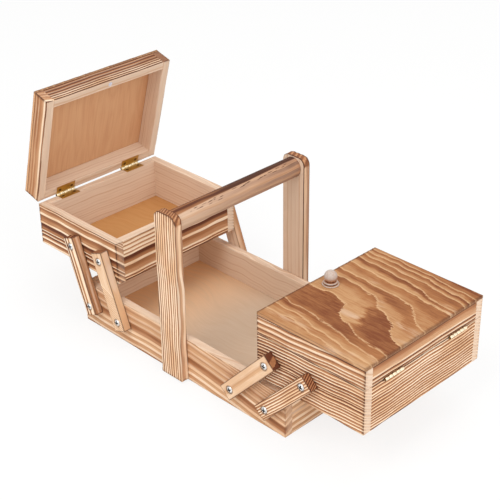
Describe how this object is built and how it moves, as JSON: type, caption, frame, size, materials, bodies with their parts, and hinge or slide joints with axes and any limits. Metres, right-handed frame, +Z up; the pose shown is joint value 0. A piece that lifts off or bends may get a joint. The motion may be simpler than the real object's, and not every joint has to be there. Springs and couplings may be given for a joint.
{
  "type": "sewing carrier",
  "caption": "Pine sewing carrier: an open tray with a carrying handle, and lidded side boxes that swing out level on flat wooden arms.",
  "frame": {"origin": "centre of the flat underside of the tray, on the surface it stands on", "axes": "+X along the tray towards the right box, +Y towards the far side, +Z up"},
  "size_m": [0.4932, 0.1888, 0.2506],
  "materials": {
    "flamed_pine": "flamed and wire-brushed outside, sanded inside",
    "plywood": "sanded",
    "turned_wood": "sanded",
    "brass": "polished plate",
    "steel": "zinc plated",
    "magnet": "nickel plated"
  },
  "bodies": {
    "base": {"base_far_board": "flamed_pine", "base_floor_panel": "plywood", "base_left_board": "flamed_pine", "base_near_board": "flamed_pine", "base_right_board": "flamed_pine", "far_upright": "flamed_pine", "handle_crossbar": "flamed_pine", "handle_dowels": "turned_wood", "left_lower_screws": "steel", "near_upright": "flamed_pine", "right_lower_screws": "steel"},
    "left_box": {"left_box_far_board": "flamed_pine", "left_box_floor_panel": "plywood", "left_box_hinge_leaves": "brass", "left_box_hinge_nails": "brass", "left_box_inner_board": "flamed_pine", "left_box_magnet": "magnet", "left_box_near_board": "flamed_pine", "left_box_outer_board": "flamed_pine", "left_hinge_pins": "brass", "left_upper_screws": "steel"},
    "left_lid": {"left_knob_screw": "steel", "left_lid_far_rail": "flamed_pine", "left_lid_hinge_leaves": "brass", "left_lid_hinge_nails": "brass", "left_lid_inner_rail": "flamed_pine", "left_lid_knob": "turned_wood", "left_lid_magnet": "magnet", "left_lid_near_rail": "flamed_pine", "left_lid_outer_rail": "flamed_pine", "left_lid_panel": "plywood"},
    "right_box": {"right_box_far_board": "flamed_pine", "right_box_floor_panel": "plywood", "right_box_hinge_leaves": "brass", "right_box_hinge_nails": "brass", "right_box_inner_board": "flamed_pine", "right_box_magnet": "magnet", "right_box_near_board": "flamed_pine", "right_box_outer_board": "flamed_pine", "right_hinge_pins": "brass", "right_upper_screws": "steel"},
    "right_lid": {"right_knob_screw": "steel", "right_lid_far_rail": "flamed_pine", "right_lid_hinge_leaves": "brass", "right_lid_hinge_nails": "brass", "right_lid_inner_rail": "flamed_pine", "right_lid_knob": "turned_wood", "right_lid_magnet": "magnet", "right_lid_near_rail": "flamed_pine", "right_lid_outer_rail": "flamed_pine", "right_lid_panel": "plywood"},
    "left_near_inner_arm": {"left_near_inner_arm": "flamed_pine"},
    "left_near_outer_arm": {"left_near_outer_arm": "flamed_pine"},
    "left_far_inner_arm": {"left_far_inner_arm": "flamed_pine"},
    "left_far_outer_arm": {"left_far_outer_arm": "flamed_pine"},
    "right_near_inner_arm": {"right_near_inner_arm": "flamed_pine"},
    "right_near_outer_arm": {"right_near_outer_arm": "flamed_pine"},
    "right_far_inner_arm": {"right_far_inner_arm": "flamed_pine"},
    "right_far_outer_arm": {"right_far_outer_arm": "flamed_pine"}
  },
  "joints": [
    {"name": "left_swing", "type": "hinge", "parent": "base", "child": "left_near_inner_arm", "pos_m": [-0.085, -0.08905, 0.028], "axis": [0, 1, 0], "range_deg": [-29.17, 70.37]},
    {"name": "left_near_outer_swing", "type": "hinge", "parent": "base", "child": "left_near_outer_arm", "pos_m": [-0.1318, -0.08905, 0.028], "axis": [0, 1, 0], "range_deg": [-29.18, 70.38]},
    {"name": "left_far_inner_swing", "type": "hinge", "parent": "base", "child": "left_far_inner_arm", "pos_m": [-0.085, 0.08905, 0.028], "axis": [0, 1, 0], "range_deg": [-29.18, 70.38]},
    {"name": "left_far_outer_swing", "type": "hinge", "parent": "base", "child": "left_far_outer_arm", "pos_m": [-0.1318, 0.08905, 0.028], "axis": [0, 1, 0], "range_deg": [-29.18, 70.38]},
    {"name": "left_box_level", "type": "hinge", "parent": "left_near_inner_arm", "child": "left_box", "pos_m": [-0.10914, -0.08905, 0.09221], "axis": [0, 1, 0], "range_deg": [-70.38, 29.18]},
    {"name": "left_lid_hinge", "type": "hinge", "parent": "left_box", "child": "left_lid", "pos_m": [-0.22344, 0, 0.11636], "axis": [0, -1, 0], "range_deg": [-74, 106]},
    {"name": "right_swing", "type": "hinge", "parent": "base", "child": "right_near_inner_arm", "pos_m": [0.085, -0.08905, 0.028], "axis": [0, -1, 0], "range_deg": [-6.57, 92.97]},
    {"name": "right_near_outer_swing", "type": "hinge", "parent": "base", "child": "right_near_outer_arm", "pos_m": [0.1318, -0.08905, 0.028], "axis": [0, -1, 0], "range_deg": [-6.58, 92.98]},
    {"name": "right_far_inner_swing", "type": "hinge", "parent": "base", "child": "right_far_inner_arm", "pos_m": [0.085, 0.08905, 0.028], "axis": [0, -1, 0], "range_deg": [-6.58, 92.98]},
    {"name": "right_far_outer_swing", "type": "hinge", "parent": "base", "child": "right_far_outer_arm", "pos_m": [0.1318, 0.08905, 0.028], "axis": [0, -1, 0], "range_deg": [-6.58, 92.98]},
    {"name": "right_box_level", "type": "hinge", "parent": "right_near_inner_arm", "child": "right_box", "pos_m": [0.13196, -0.08905, 0.07801], "axis": [0, -1, 0], "range_deg": [-92.98, 6.58]},
    {"name": "right_lid_hinge", "type": "hinge", "parent": "right_box", "child": "right_lid", "pos_m": [0.24626, 0, 0.10216], "axis": [0, 1, 0], "range_deg": [0, 180]}
  ],
  "couplings": [
    {"joint": "left_near_outer_swing", "follows": "left_swing", "ratio": 1},
    {"joint": "left_far_inner_swing", "follows": "left_swing", "ratio": 1},
    {"joint": "left_far_outer_swing", "follows": "left_swing", "ratio": 1},
    {"joint": "left_box_level", "follows": "left_swing", "ratio": -1},
    {"joint": "right_near_outer_swing", "follows": "right_swing", "ratio": 1},
    {"joint": "right_far_inner_swing", "follows": "right_swing", "ratio": 1},
    {"joint": "right_far_outer_swing", "follows": "right_swing", "ratio": 1},
    {"joint": "right_box_level", "follows": "right_swing", "ratio": -1}
  ]
}
